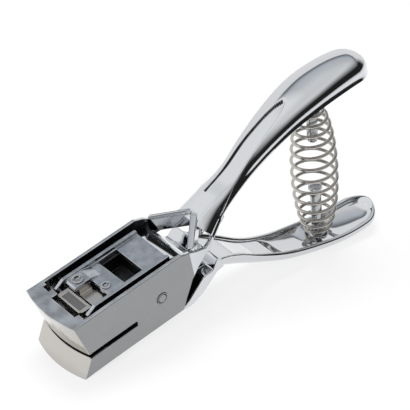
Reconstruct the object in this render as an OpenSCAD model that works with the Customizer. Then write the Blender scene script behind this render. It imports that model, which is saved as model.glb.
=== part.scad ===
// Hand-held slot punch for badges and ID cards: a die-cast head and upper handle, a lower
// handle that pivots in the head, a barrel spring between them and a slot-shaped punch.
// The head is drawn in its own axes (x back from the lower front edge, y across, z up from
// its flat underside) and stand() tips it as it stands on a table.

/* [Head] */
// Length of the head's flat underside
head_l = 45.7; // [42:0.1:50]
// Width over the two cheeks
head_w = 28.4; // [26.4:0.1:30]
// Extra width of the nose on each side
nose_flare = 0.3; // [0:0.1:2]
// Height of the head
head_h = 24.4; // [24:0.1:27]
// Wall of a cheek
cheek_t = 1.5; // [1.2:0.1:1.8]
// How far the front faces bulge across the width
nose_bulge = 2; // [1:0.1:3]
// How far back the mouth's lip lies behind the lower front edge
lip_x = 4.6; // [3.5:0.1:5.5]
// How far back the nose's top edge lies behind the lower front edge
nose_x = 1.4; // [0.5:0.1:2.5]
// Depth of the nose's top plate, front to back
nose_plate_l = 8.4; // [8:0.1:8.6]
// Angle at which the head tips up at the back as the punch stands
tip_angle = 13.2; // [12:0.1:14]

/* [Card slit] */
// Height of the slit's floor over the underside
slit_z = 7.5; // [7:0.1:8]
// Height of the slit
slit_h = 1.8; // [1:0.1:2]
// Depth of the slit from the front
slit_l = 26; // [22:0.1:28]

/* [Punch and die] */
// Length of the punched slot
slot_l = 14; // [12:0.1:14.4]
// Width of the punched slot
slot_w = 3; // [2.5:0.1:3.2]
// Place of the slot's middle behind the lower front edge
punch_x = 11.5; // [11.2:0.1:11.8]
// Gap all round the blade in its guide
blade_gap = 0.08; // [0.05:0.01:0.1]
// Gap all round the blade in the die
die_gap = 0.12; // [0.1:0.01:0.2]
// Thickness of the die plate
die_t = 3.4; // [3:0.1:3.8]
// Thickness of the blade's steel guide
guide_t = 2.2; // [1.8:0.1:2.3]
// Height of the block on top of the blade
punch_head_h = 3.4; // [3:0.1:3.6]
// Depth of that block, front to back
punch_head_w = 5; // [4.8:0.1:5.2]
// Diameter of the two rivets through block and blade
head_rivet_d = 1.6; // [1.2:0.1:1.8]

/* [Pivot] */
// Place of the pivot behind the lower front edge
pivot_x = 38; // [37:0.1:39]
// Height of the pivot over the underside
pivot_z = 11.8; // [11.4:0.1:12.4]
// Diameter of the pivot pin
pivot_d = 4.5; // [4:0.1:5]
// Running clearance of the lever on the pin, on the radius
pivot_gap = 0.05; // [0.03:0.01:0.08]
// Angle the lower handle turns through when squeezed
squeeze = 9; // [7:0.5:9]
// Gap between faces of pieces that pass each other
run_gap = 0.3; // [0.2:0.05:0.4]

/* [Lever] */
// Gap between the punch's block and each of the lever's ears
ear_gap = 0.3; // [0.1:0.1:0.5]
// Height of the lever plate's top over the underside
plate_z = 22.3; // [22:0.1:22.6]
// Thickness of the pressed lever plate and its side flanges
plate_t = 1.5; // [1.2:0.1:1.6]
// Height of the side flanges over the plate
flange_h = 0.8; // [0.5:0.1:1.2]
// Length of the window through the lever plate
window_l = 8.2; // [7:0.1:9]
// Width of the window through the lever plate
window_w = 14; // [12:0.1:14.4]
// Place of the window's front edge
window_x = 28.7; // [28.2:0.1:29.6]
// Width of the raised tongue
tongue_w = 6.2; // [5.6:0.1:6.6]
// Height of the tongue over the lever plate
tongue_h = 1; // [0.8:0.1:1.4]
// Diameter of the drive pins that move the punch
drive_pin_d = 2.4; // [2:0.1:2.6]
// Diameter of the tongue's rivet head
rivet_head_d = 4.7; // [4:0.1:5]

/* [Upper handle] */
// Place of the upper handle's tip
upper_tip_x = 153; // [151:0.5:158]
// Width of the upper handle at the neck
neck_w = 13.2; // [12:0.1:15]
// Width of the upper handle at the grip
grip_w = 20.4; // [18:0.1:22]
// Height of the upper handle's crown at the grip
grip_h = 9; // [8:0.1:10]
// Wall of the handles
handle_t = 1.9; // [1.5:0.1:2.2]

/* [Lower handle] */
// Place of the lower handle's tip
lower_tip_x = 148.5; // [146:0.5:153]
// Width of the lower handle behind the head
waist_w = 14.6; // [14:0.1:17]
// Width of the lower handle at the spring
tray_w = 18.2; // [17:0.1:20]
// Depth of the lower handle from rim to belly
tray_h = 5.2; // [5:0.1:6]

/* [Spring] */
// Number of turns
spring_turns = 13; // [8:1:16]
// Diameter of the spring wire
wire_d = 1.3; // [1:0.05:1.5]
// Outer diameter of the barrel spring at its middle
spring_mid_d = 18.4; // [15:0.1:19]
// Outer diameter of the barrel spring at its ends
spring_end_d = 9.6; // [9:0.1:11]
// Diameter of the two spring pegs
peg_d = 4.2; // [3.5:0.1:4.6]
// Length of the upper peg below its seat
upper_peg_l = 15.5; // [8:0.5:17]
// Length of the lower peg above its seat
lower_peg_l = 22; // [15:0.5:24]
// Diameter of the two spring seats
boss_d = 8; // [7.6:0.1:9]

/* [Hidden] */
near = -1;
far = 1;
through = 60;

// Heights in the head, from the underside, from the mouth up to the drive pins.
slit_top = slit_z + slit_h;
roof_t = 2;
guide_z = slit_top + roof_t;
guide_top = guide_z + guide_t;
pin_z = guide_top + 6.2;
stroke = (pivot_x - punch_x) * sin(squeeze) + (pin_z - pivot_z) * (1 - cos(squeeze));
sweep_x = (pin_z - pivot_z) * sin(squeeze) - (pivot_x - punch_x) * (1 - cos(squeeze));
head_z = guide_top + stroke + run_gap;
head_top = head_z + punch_head_h;
blade_rest = slit_top + 0.4;
floor_t = 1.8;
deck_z = slit_z - die_t;
deck_t = 1.8;

// Places along the head, from the lower front edge.
jaw_wall = 2;
jaw_x = lip_x + jaw_wall;
bed_l = 13.4;
bed_end = jaw_x + bed_l;
stop_t = 1.5;
root_x = head_l + 0.6;
channel_front = punch_x - 1.6;
plate_front = punch_x + 10;
channel_end = 47;
tongue_x = 15;
tongue_end = 21.4;
tongue_foot = 25.4;

neck_x = head_l + 16.3;
inner_w = head_w - 2 * cheek_t;
lever_gap = 2.5;
arm_w = inner_w - 2 * lever_gap;
block_w = slot_l + 2 * (plate_t + ear_gap);
arm_r = 6;

// The guide and its screws, the die's screws, and the pivot's spacers.
seat_gap = 0.1;
guide_x0 = jaw_x + seat_gap;
guide_x1 = bed_end - 0.6;
screw_d = 2;
guide_screw_head_d = 2.5;
guide_screw_x = guide_x1 - 2;
guide_screw_y = inner_w / 2 - guide_screw_head_d / 2 - 0.05;
screw_foot_z = slit_top + 0.4;
die_screw_head_d = 3.6;
die_screw_x = bed_end - 2.6;
die_screw_y = inner_w / 2 - 2.6;
screw_head_h = 1.2;
screw_slot = 0.5;
spacer_d = 8;

// The web between the head and the upper handle.
keel_d = 4.8;
keel_x = neck_x + 5;
keel_z = 13.3;
keel_h = 11.9;
keel_run = 7.5;
keel_end_z = 22.6;
web_t = 2.4;
web_h = 6;
web_foot_x = neck_x - 6.6;
web_foot_y = inner_w / 2 - 1.2;
web_foot_z = 16.8;
web_top_z = keel_z + keel_h - web_h - 0.4;

// The lever plate's rivets, the tongue, and the drive block and pins.
plate_low = plate_z - plate_t;
rivet_d = 2.4;
rivet_flat = 0.5;
rivet_x = plate_front + 2.1;
rivet_y = -(block_w / 2 - 5.3);
tongue_y = block_w / 2 - tongue_w;
tongue_top = plate_z + tongue_h;
tongue_rivet_x = tongue_x + 3.3;
tongue_rivet_y = tongue_y + tongue_w / 2;
flange_in = arm_w / 2 - plate_t;
block_in = block_w / 2 - plate_t;
ear_l = 4.6;
drive_gap = 0.1;
drive_x0 = punch_x + punch_head_w / 2 + sweep_x + 2 * run_gap;
drive_x1 = plate_front + 0.4;
drive_low = head_z + 0.2;
drive_top = plate_low - 1.5;
pin_reach = 1.4;
ear_z = pin_z - drive_pin_d / 2 - 0.5;
neck_half = slot_l / 2 - pin_reach - 0.4;
head_rivet_y = neck_half - 1.8;

// The spring's axis runs between its two seats, and each peg stands in a boss.
spring_bottom = [118.8, -23];
spring_top = [125.2, 35.5];
spring_l = norm(spring_top - spring_bottom);
spring_lean = atan2(spring_top[0] - spring_bottom[0], spring_top[1] - spring_bottom[1]);
upper_boss_h = 13;
lower_boss_h = 3.4;
peg_sunk = 6;

// Height of the table under the punch, in the head's axes.
function table_z(x) = -(x + nose_bulge) * tan(tip_angle);

// Stations along each handle: place, height of the rim, half width, and crown or belly over it.
upper_stations = [
    [neck_x, 14.9, 11.2, 7.6],
    [neck_x + 5, 17.2, 9.8, 7.4],
    [neck_x + 13, 22.4, neck_w / 2 + 1.2, 5.9],
    [86, 27.4, neck_w / 2, 5],
    [97, 33.1, neck_w / 2 + 1, 5.9],
    [110, 38.3, grip_w / 2 - 1.1, grip_h - 2.3],
    [122, 40.8, grip_w / 2, grip_h - 0.9],
    [133, 41, grip_w / 2 - 0.2, grip_h],
    [143, 39.9, grip_w / 2 - 1.2, grip_h],
    [upper_tip_x - 2, 37.1, grip_w / 2 - 3.4, grip_h - 1],
    [upper_tip_x + 4, 33, grip_w / 2 - 5, grip_h - 2],
];
tray_rim = tray_h / cos(tip_angle);
function lower_stations(lift) = [
    [neck_x - 5, 8.6, 12.8, 7],
    [neck_x + 3, 8.6, 11.8, 5.8],
    [neck_x + 14, 1.4, 8.8, 6.4],
    [88, -8.6, waist_w / 2, tray_h],
    [100, -15.7, waist_w / 2 + 0.7, tray_h],
    [113, table_z(113) + tray_rim + lift + 0.9, tray_w / 2 - 0.3, tray_h],
    [126, table_z(126) + tray_rim + lift + 0.05, tray_w / 2, tray_h],
    [138, table_z(138) + tray_rim + lift + 1.4, tray_w / 2 - 0.3, tray_h],
    [lower_tip_x - 3, table_z(lower_tip_x - 3) + tray_rim + lift + 4.2, tray_w / 2 - 1.6, tray_h],
    [lower_tip_x + 5, table_z(lower_tip_x + 5) + tray_rim + lift + 8.6, tray_w / 2 - 3, tray_h],
];

// One ring of a handle's section: its outer and its inner line, from the far rim to the near one.
function ring(station, turn, hollow, side, steps) =
    let (
        hw = station[2],
        d = station[3],
        t = min(handle_t, hw * 0.4),
        td = min(handle_t, d * 0.4),
        across = [for (i = [0:steps]) cos(180 * i / steps)],
        over = [for (i = [0:steps]) pow(max(sin(180 * i / steps), 0), 0.75)],
        place = function (y, n) [
            station[0] - side * n * sin(turn),
            y,
            station[1] + side * n * cos(turn)
        ]
    )
    concat(
        [for (i = [0:steps]) place(hw * across[i], d * over[i])],
        [for (i = [0:steps]) place((hw - t) * across[i], max((d - td) * hollow, 0.05) * over[i])]
    );

// A smooth curve through stations a, b, c and d, taken between b and c.
function between(a, b, c, d, t) =
    0.5 * (2 * b + (c - a) * t + (2 * a - 5 * b + 4 * c - d) * t * t + (3 * b - a - 3 * c + d) * t * t * t);

function along(stations, s) =
    let (
        last = len(stations) - 3,
        i = min(floor(s), last - 1)
    )
    between(stations[i], stations[i + 1], stations[i + 2], stations[i + 3], s - i);

// The rings of a handle, which round off over the last stretch, tip, and hollow out from hollow_from.
function handle_rings(stations, side, tip, rings, steps, hollow_from) =
    let (last = len(stations) - 3)
    [
        for (k = [0:rings])
        let (
            s = last * (1 - pow(1 - k / rings, 1.3)),
            here = along(stations, s),
            a = along(stations, max(s - 0.02, 0)),
            b = along(stations, min(s + 0.02, last)),
            turn = atan2(b[1] - a[1], b[0] - a[0]),
            left = last - s,
            round_in = left < tip ? max(sqrt(1 - pow(1 - left / tip, 2)), 0.12) : 1,
            hollow = max(min((s - hollow_from) / 0.4, left * 2.2, 1), 0)
        )
        ring([here[0], here[1], here[2] * round_in, here[3] * max(round_in, 0.3)], turn, hollow, side, steps)
    ];

// A closed skin over rings that each hold an outer and an inner line of steps + 1 points.
module skin(rings, steps, side) {
    count = 2 * (steps + 1);
    inner = steps + 1;
    last = len(rings) - 1;
    function quad(a, b, c, d) = side > 0 ? [[a, c, b], [a, d, c]] : [[b, c, a], [c, d, a]];
    wall = [
        for (k = [0:last - 1])
            for (i = [0:steps - 1])
                let (a = k * count + i, b = a + count, c = a + inner, d = b + inner)
                each concat(quad(a, a + 1, b + 1, b), quad(c + 1, c, d, d + 1))
    ];
    rims = [
        for (k = [0:last - 1])
            let (a = k * count, b = a + count, e = a + steps, f = b + steps)
            each concat(quad(a + inner, a, b, b + inner), quad(e, e + inner, f + inner, f))
    ];
    caps = [
        for (i = [0:steps - 1])
            let (a = i, b = last * count + i)
            each concat(quad(a + 1, a, a + inner, a + inner + 1), quad(b, b + 1, b + inner + 1, b + inner))
    ];
    polyhedron([for (r = rings) each r], concat(wall, rims, caps), convexity = 6);
}

upper_rings = handle_rings(upper_stations, 1, 1.1, 44, 14, 0);
function lower_skin(lift) = handle_rings(lower_stations(lift), -1, 1.1, 40, 14, 1.6);
function above_table(p) = (p[0] + nose_bulge) * sin(tip_angle) + p[2] * cos(tip_angle);

// The belly's lowest point lies on the table that the front edge stands on.
belly_z = min([for (r = lower_skin(0)) for (p = r) above_table(p)]);
lower_rings = lower_skin(-belly_z / cos(tip_angle));

// Where the finished punch stands: its middle over the origin, its lowest points at z = 0.
function tipped_x(x, z) = x * cos(tip_angle) - z * sin(tip_angle);
front_x = tipped_x(nose_x - nose_bulge, head_h);
back_x = max([for (r = lower_rings) for (p = r) tipped_x(p[0], p[2])]);
middle_x = (front_x + back_x) / 2;

module stand() {
    translate([-middle_x, 0, nose_bulge * sin(tip_angle)])
        rotate([0, -tip_angle, 0])
            children();
}

// Half width of the head, and of the strut behind it, at x.
function half_w(x) =
    x < 18 ? head_w / 2 + nose_flare * pow((18 - x) / 18, 2) :
    x < neck_x - 12 ? head_w / 2 :
    head_w / 2 - (head_w / 2 - neck_w / 2 - 1) * (1 - cos(180 * (x - neck_x + 12) / 26)) / 2;

// Outline of the head seen from above, from one x to another, drawn in by inset.
module plan(from, to, inset = 0) {
    xs = [
        from,
        each [for (x = [0:3:18]) if (x > from && x < to) x],
        each [for (x = [neck_x - 12:3:neck_x + 14]) if (x > from && x < to) x],
        to,
    ];
    last = len(xs) - 1;
    polygon([
        for (x = xs) [x, half_w(x) - inset],
        for (i = [0:last]) [xs[last - i], inset - half_w(xs[last - i])],
    ]);
}

// A plate in the x-z plane, from y0 to y1.
module slab(y0, y1) {
    translate([0, y1, 0])
        rotate([90, 0, 0])
            linear_extrude(y1 - y0)
                children();
}

// A cylinder along y, centred on x and z.
module rod(x, z, d, y0, y1) {
    translate([x, y1, z])
        rotate([90, 0, 0])
            cylinder(d = d, h = y1 - y0, $fn = 48);
}

// A box between two corners, as wide to the near side as to the far one.
module block(x0, x1, half, z0, z1) {
    translate([x0, -half, z0])
        cube([x1 - x0, 2 * half, z1 - z0]);
}

// A slot-shaped prism across the head, standing on z = 0.
module slot(l, w, h) {
    for (side = [near, far])
        translate([0, side * (l - w) / 2, 0])
            cylinder(d = w, h = h, $fn = 40);
    block(-w / 2, w / 2, (l - w) / 2, 0, h);
}

// What stands along the spring's axis, measured from its lower seat.
module on_spring_axis() {
    translate([spring_bottom[0], 0, spring_bottom[1]])
        rotate([0, spring_lean, 0])
            children();
}

// Outline of the cheeks and of the strut behind them, seen from the side.
module side_outline() {
    polygon([
        [-4, 0], [head_l, 0], [head_l + 2.2, 4.2], [head_l + 6.3, 10.5], [head_l + 10.2, 13.5],
        [neck_x - 1, 15.1], [neck_x + 2, 14.6], [neck_x + 7.1, 18.2], [neck_x + 12.1, 21.8],
        [neck_x + 12.1, 24.2], [neck_x + 7, 20.4], [neck_x + 2.4, 17.6], [neck_x - 0.5, 17.4],
        [neck_x - 5, 20.2], [neck_x - 9, head_h - 1.5], [neck_x - 13, head_h], [-4, head_h],
    ]);
}

// All that lies behind a jaw's front face: a large cylinder, leaning to pass through both edges.
module behind_face(x0, z0, x1, z1) {
    face_r = (pow(head_w / 2 + nose_flare, 2) + pow(nose_bulge, 2)) / (2 * nose_bulge);
    translate([x0 - nose_bulge, 0, z0])
        rotate([0, atan((x1 - x0) / (z1 - z0)), 0])
            translate([face_r, 0, -through / 2])
                cylinder(r = face_r, h = through, $fn = 200);
}

module head_block() {
    intersection() {
        slab(-through / 2, through / 2)
            side_outline();
        linear_extrude(through)
            plan(-4, neck_x + 12.1);
        union() {
            intersection() {
                block(-10, slit_l + 10, through / 2, slit_top, head_h + 1);
                behind_face(nose_x, head_h, lip_x, slit_top);
            }
            intersection() {
                block(-10, slit_l + 10, through / 2, -1, slit_z);
                behind_face(0, 0, lip_x, slit_z);
            }
            block(slit_l, 80, through / 2, -1, head_h + 1);
        }
    }
}

// A space between the cheeks.
module between_cheeks(x0, x1, z0, z1) {
    translate([0, 0, z0])
        linear_extrude(z1 - z0)
            plan(x0, x1, cheek_t);
}

module head_hollow() {
    over = head_h + 1;
    between_cheeks(jaw_x, nose_plate_l, guide_z, head_h - 1.6);
    between_cheeks(nose_plate_l, bed_end + 0.6, guide_z, over);
    between_cheeks(bed_end + 0.6, slit_l, slit_z, over);
    between_cheeks(slit_l, slit_l + stop_t, slit_top + 0.7, over);
    between_cheeks(slit_l + stop_t, root_x - 0.9, floor_t, over);
    between_cheeks(root_x - 0.9, neck_x + 14, -1, over + 10);
    between_cheeks(jaw_x, bed_end, deck_z, slit_z + 0.1);
    between_cheeks(lip_x - 1, bed_end, -1, deck_z - deck_t);
}

// Openings in the nose's top plate, over the punch.
module nose_cuts() {
    z0 = head_h - 3;
    translate([lip_x + 1, -9.2, z0])
        cube([10, 13.6, 10]);
    translate([lip_x + 2.2, 7.9, z0])
        cube([10, 3.2, 10]);
    translate([lip_x + 2.7, -inner_w / 2, z0])
        cube([10, 3.4, 10]);
}

// The web behind the head's opening: two arms from the cheeks to a rounded keel.
module web() {
    hull()
        for (at = [[keel_x, keel_z], [keel_x, keel_z + keel_h - keel_d], [keel_x + keel_run, keel_end_z]])
            translate([at[0], 0, at[1] + keel_d / 2])
                sphere(d = keel_d, $fn = 40);
    for (side = [near, far])
        hull() {
            translate([web_foot_x, side * web_foot_y, web_foot_z])
                cylinder(d = web_t, h = web_h, $fn = 24);
            translate([keel_x - keel_d / 4, side * keel_d / 4, web_top_z])
                cylinder(d = web_t, h = web_h, $fn = 24);
        }
}

module frame_casting() {
    color("silver")
        stand()
            difference() {
                union() {
                    difference() {
                        head_block();
                        head_hollow();
                        nose_cuts();
                    }
                    web();
                    skin(upper_rings, 14, 1);
                    on_spring_axis()
                        translate([0, 0, spring_l])
                            cylinder(d = boss_d, h = upper_boss_h, $fn = 48);
                }
                block(-10, slit_l, through, slit_z, slit_top);
                rod(pivot_x, pivot_z, pivot_d, -through / 2, through / 2);
                translate([punch_x, 0, slit_top - 1])
                    slot(slot_l + 1, slot_w + 1, roof_t + 2);
                translate([punch_x, 0, -1])
                    slot(slot_l + 2, slot_w + 2, deck_z + 2);
                guide_screw_holes();
                die_screw_holes();
                on_spring_axis()
                    translate([0, 0, spring_l - 1])
                        cylinder(d = peg_d, h = peg_sunk + 1, $fn = 48);
            }
}

module guide_screw_holes() {
    for (side = [near, far])
        translate([guide_screw_x, side * guide_screw_y, screw_foot_z])
            cylinder(d = screw_d, h = through, $fn = 32);
}

module die_screw_holes() {
    for (side = [near, far])
        translate([die_screw_x, side * die_screw_y, -1])
            cylinder(d = screw_d, h = deck_z + 2.6, $fn = 32);
}

module guide_block() {
    color("gainsboro")
        stand()
            difference() {
                block(guide_x0, guide_x1, inner_w / 2, guide_z, guide_top);
                translate([punch_x, 0, guide_z - 1])
                    slot(slot_l + 2 * blade_gap, slot_w + 2 * blade_gap, guide_t + 2);
                guide_screw_holes();
            }
}

module guide_screw(side) {
    color("dimgray")
        stand()
            translate([guide_screw_x, side * guide_screw_y, 0])
                difference() {
                    union() {
                        translate([0, 0, screw_foot_z])
                            cylinder(d = screw_d, h = guide_top - screw_foot_z, $fn = 32);
                        translate([0, 0, guide_top])
                            cylinder(d = guide_screw_head_d, h = screw_head_h, $fn = 32);
                    }
                    translate([-guide_screw_head_d, -screw_slot / 2, guide_top + screw_head_h / 2])
                        cube([2 * guide_screw_head_d, screw_slot, screw_head_h]);
                }
}

module die_plate() {
    color("gray")
        stand()
            difference() {
                block(jaw_x + seat_gap, bed_end - seat_gap, inner_w / 2, deck_z, slit_z);
                translate([punch_x, 0, deck_z - 1])
                    slot(slot_l + 2 * die_gap, slot_w + 2 * die_gap, die_t + 2);
                die_screw_holes();
            }
}

module die_screw(side) {
    color("dimgray")
        stand()
            translate([die_screw_x, side * die_screw_y, 0])
                difference() {
                    union() {
                        translate([0, 0, deck_z - deck_t])
                            cylinder(d = screw_d, h = deck_t + 1.6, $fn = 32);
                        translate([0, 0, deck_z - deck_t - screw_head_h])
                            cylinder(d = die_screw_head_d, h = screw_head_h, $fn = 32);
                    }
                    translate([-die_screw_head_d, -screw_slot / 2, deck_z - deck_t - 1.5 * screw_head_h])
                        cube([2 * die_screw_head_d, screw_slot, screw_head_h]);
                }
}

module pivot_pin() {
    color("silver")
        stand()
            rod(pivot_x, pivot_z, pivot_d, -head_w / 2, head_w / 2);
}

module pivot_spacer(side) {
    inside = block_w / 2 + seat_gap;
    outside = inner_w / 2;
    color("darkgray")
        stand()
            difference() {
                rod(pivot_x, pivot_z, spacer_d, side > 0 ? inside : -outside, side > 0 ? outside : -inside);
                rod(pivot_x, pivot_z, pivot_d, -through / 2, through / 2);
            }
}

module upper_spring_peg() {
    color("silver")
        stand()
            on_spring_axis()
                translate([0, 0, spring_l - upper_peg_l])
                    cylinder(d = peg_d, h = upper_peg_l + peg_sunk, $fn = 48);
}

module lower_spring_boss() {
    color("silver")
        stand()
            on_spring_axis()
                difference() {
                    translate([0, 0, -lower_boss_h])
                        cylinder(d1 = boss_d + 1.6, d2 = boss_d, h = lower_boss_h, $fn = 48);
                    translate([0, 0, -lower_boss_h - 1])
                        cylinder(d = peg_d, h = lower_boss_h + 2, $fn = 48);
                }
}

module lower_spring_peg() {
    color("silver")
        stand()
            on_spring_axis()
                translate([0, 0, -lower_boss_h]) {
                    cylinder(d = peg_d, h = lower_boss_h + lower_peg_l, $fn = 48);
                    translate([0, 0, lower_boss_h + lower_peg_l - 1.5])
                        cylinder(d = peg_d + 1.2, h = 1.5, $fn = 48);
                }
}

// The spring: a barrel helix of wire, its pitch wider at the middle than at the ends.
curl_rings = 8;
wire_sides = 6;
spring_steps = spring_turns * curl_rings;

function spring_r(u) = (spring_end_d + (spring_mid_d - spring_end_d) * pow(sin(180 * u), 0.8) - wire_d) / 2;
function spring_h(u) = wire_d / 2 + (spring_l - wire_d) * (u - 0.24 * sin(360 * u) / (2 * PI));
function spring_point(i) =
    let (
        u = i / spring_steps,
        a = 360 * i / curl_rings
    )
    [spring_r(u) * cos(a), spring_r(u) * sin(a), spring_h(u)];

spring_curls = [for (i = [0:spring_steps]) spring_point(i)];
first_way = spring_curls[0] - spring_curls[1];
last_way = spring_curls[spring_steps] - spring_curls[spring_steps - 1];
spring_line = concat(
    [spring_curls[0] + first_way / norm(first_way) * wire_d],
    spring_curls,
    [spring_curls[spring_steps] + last_way / norm(last_way) * wire_d]
);

// The least gap between the wire and itself, more than half a curl apart.
spring_gap = min([
    for (i = [0:len(spring_line) - 1])
        for (j = [i + curl_rings / 2 + 1:1:min(i + 2 * curl_rings, len(spring_line) - 1)])
            norm(spring_line[i] - spring_line[j])
]) - wire_d;
echo("least gap between the spring's curls", spring_gap);

module tube(line, d, sides) {
    last = len(line) - 1;
    points = [
        for (i = [0:last])
            let (
                way = line[min(i + 1, last)] - line[max(i - 1, 0)],
                t = way / norm(way),
                out = cross([0, 0, 1], t),
                n = out / norm(out),
                m = cross(t, n)
            )
            each [for (k = [0:sides - 1]) line[i] + d / 2 * (n * cos(360 * k / sides) + m * sin(360 * k / sides))]
    ];
    sides_of = [
        for (i = [0:last - 1])
            for (k = [0:sides - 1])
                let (a = i * sides + k, b = i * sides + (k + 1) % sides)
                each [[a, b + sides, b], [a, a + sides, b + sides]]
    ];
    ends = [
        for (k = [1:sides - 2])
            each [[0, k, k + 1], [last * sides, last * sides + k + 1, last * sides + k]]
    ];
    polyhedron(points, concat(sides_of, ends), convexity = 10);
}

module spring() {
    color("silver")
        stand()
            on_spring_axis()
                tube(spring_line, wire_d, wire_sides);
}

// Outline of the lever arm between the cheeks, and of its root, seen from the side.
module arm_outline() {
    polygon([
        [plate_front + 0.6, plate_low], [plate_front + 0.6, plate_low - 4.4], [pivot_x - 10.2, 12.6],
        [pivot_x - arm_r + 0.4, pivot_z - 2.6], [pivot_x - 3, pivot_z - 5.2], [pivot_x + 3, pivot_z - 5.2],
        [root_x, 2.4], [root_x, -0.7], [neck_x, 4.6], [neck_x + 4, 4.6], [neck_x + 4, 8.4],
        [neck_x - 0.6, 7.8], [neck_x - 2.4, 9.8], [neck_x - 4.5, 13], [neck_x - 7.5, 17.4],
        [neck_x - 11, 19.5], [channel_end, plate_low],
    ]);
}

// The root's shoulders, as wide as the head, whose edge follows the cheeks' rear edge.
module shoulder() {
    wide = head_w / 2 - run_gap;
    edge = [
        [root_x, wide], [neck_x - 6, wide], [neck_x - 2, wide - 0.2], [neck_x + 1, wide - 0.7],
        [neck_x + 5, wide - 1.7],
    ];
    last = len(edge) - 1;
    intersection() {
        slab(-through / 2, through / 2)
            polygon([
                [root_x, -0.7], [neck_x - 12, -0.8], [neck_x - 7.1, 1.1], [neck_x - 1.3, 4.4],
                [neck_x + 1.1, 5.4], [neck_x + 5, 4.6], [neck_x + 4.4, 8.3], [neck_x + 3.2, 10.7],
                [neck_x + 1.8, 10.3], [neck_x - 0.6, 7.8], [neck_x - 4.1, 8], [neck_x - 5.7, 7.7],
                [neck_x - 13, 2.2], [root_x, 0.8],
            ]);
        translate([0, 0, -10])
            linear_extrude(40)
                polygon([
                    for (p = edge) p,
                    for (i = [0:last]) [edge[last - i][0], -edge[last - i][1]],
                ]);
    }
}

module lower_casting() {
    color("silver")
        stand()
            difference() {
                union() {
                    slab(-block_w / 2, block_w / 2)
                        arm_outline();
                    difference() {
                        shoulder();
                        block(neck_x, neck_x + 8, keel_d / 2 + run_gap, 8.4, 12);
                    }
                    skin(lower_rings, 14, -1);
                }
                rod(pivot_x, pivot_z, pivot_d + 2 * pivot_gap, -through, through);
                block(window_x, window_x + window_l, window_w / 2, pivot_z + 3.6, plate_z + 1);
                on_spring_axis()
                    translate([0, 0, -lower_boss_h])
                        cylinder(d = boss_d + 1.6, h = 30, $fn = 48);
                channel_rivet_hole();
            }
}

module channel_rivet_hole() {
    translate([rivet_x, rivet_y, plate_low - 3])
        cylinder(d = rivet_d, h = 10, $fn = 32);
}

// The pressed lever plate: window, side flanges that run forward as ears, and a raised tongue.
module lever_channel() {
    color("lightgray")
        stand()
            difference() {
                union() {
                    block(plate_front, channel_end, arm_w / 2, plate_low, plate_z);
                    translate([rivet_x, rivet_y, plate_low])
                        cylinder(d = rivet_d + 2.8, h = plate_t, $fn = 40);
                    for (side = [near, far]) {
                        y0 = side > 0 ? flange_in : -arm_w / 2;
                        slab(y0, y0 + plate_t)
                            polygon([
                                [channel_front + 1, ear_z], [channel_front, ear_z + 0.8],
                                [channel_front, plate_z - 0.6],
                                [channel_front + 4, plate_z + flange_h + 0.8], [channel_end, plate_z + flange_h + 0.4],
                                [channel_end, plate_low], [channel_front + ear_l + 1.6, plate_low],
                                [channel_front + ear_l, ear_z],
                            ]);
                    }
                    slab(tongue_y, tongue_y + tongue_w)
                        polygon([
                            [tongue_foot + 1.6, plate_low + 0.2], [tongue_foot + 1.6, plate_z],
                            [tongue_foot, plate_z],
                            [tongue_end, tongue_top], [tongue_x, tongue_top],
                            [tongue_x - 0.9, tongue_top - 0.5], [tongue_x - 0.9, head_top + run_gap],
                            [tongue_x, head_top + run_gap], [tongue_x, tongue_top - plate_t],
                            [tongue_end - 0.4, tongue_top - plate_t], [tongue_foot - 1, plate_low + 0.2],
                        ]);
                }
                translate([window_x, -window_w / 2, plate_low - 1])
                    cube([window_l, window_w + 1.2, plate_t + 2]);
                for (side = [near, far])
                    rod(punch_x, pin_z, drive_pin_d, side > 0 ? 1 : -through, side > 0 ? through : -1);
                translate([tongue_rivet_x, tongue_rivet_y, plate_low - 3])
                    cylinder(d = rivet_d, h = 10, $fn = 32);
                channel_rivet_hole();
            }
}

module channel_rivet() {
    color("silver")
        stand()
            translate([rivet_x, rivet_y, plate_low - 3]) {
                cylinder(d = rivet_d, h = plate_t + 3, $fn = 32);
                translate([0, 0, plate_t + 3])
                    cylinder(d = rivet_d + 1.4, h = rivet_flat, $fn = 40);
            }
}

module tongue_rivet() {
    color("silver")
        stand()
            translate([tongue_rivet_x, tongue_rivet_y, drive_low]) {
                cylinder(d = rivet_d, h = tongue_top - drive_low, $fn = 32);
                translate([0, 0, tongue_top - drive_low])
                    cylinder(d = rivet_head_d, h = rivet_flat, $fn = 40);
            }
}

// The block under the tongue, which stiffens the plate where the drive pins push the punch.
module drive_block() {
    color("gainsboro")
        stand()
            difference() {
                union() {
                    block(drive_x0, drive_x1, block_in, drive_low, drive_top);
                    translate([drive_x0, tongue_y, drive_low])
                        cube([
                            drive_x1 - drive_x0 - 0.9, block_in - tongue_y, tongue_top - plate_t - drive_low
                        ]);
                }
                translate([tongue_rivet_x, tongue_rivet_y, 0])
                    cylinder(d = rivet_d, h = through, $fn = 32);
            }
}

module drive_pin(side) {
    inside = slot_l / 2 - pin_reach;
    color("silver")
        stand()
            rod(punch_x, pin_z, drive_pin_d, side > 0 ? inside : -arm_w / 2, side > 0 ? arm_w / 2 : -inside);
}

module head_rivet_holes() {
    for (side = [near, far])
        translate([punch_x, side * head_rivet_y, pin_z])
            rotate([0, 90, 0])
                cylinder(d = head_rivet_d, h = through, center = true, $fn = 32);
}

// The blade: slot-shaped below, narrower above where it is riveted into its block.
module punch_blade() {
    color("gray")
        stand()
            difference() {
                union() {
                    translate([punch_x, 0, blade_rest])
                        slot(slot_l, slot_w, head_z - blade_rest);
                    block(punch_x - slot_w / 2, punch_x + slot_w / 2, neck_half, head_z - 1, head_top);
                }
                head_rivet_holes();
            }
}

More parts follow.
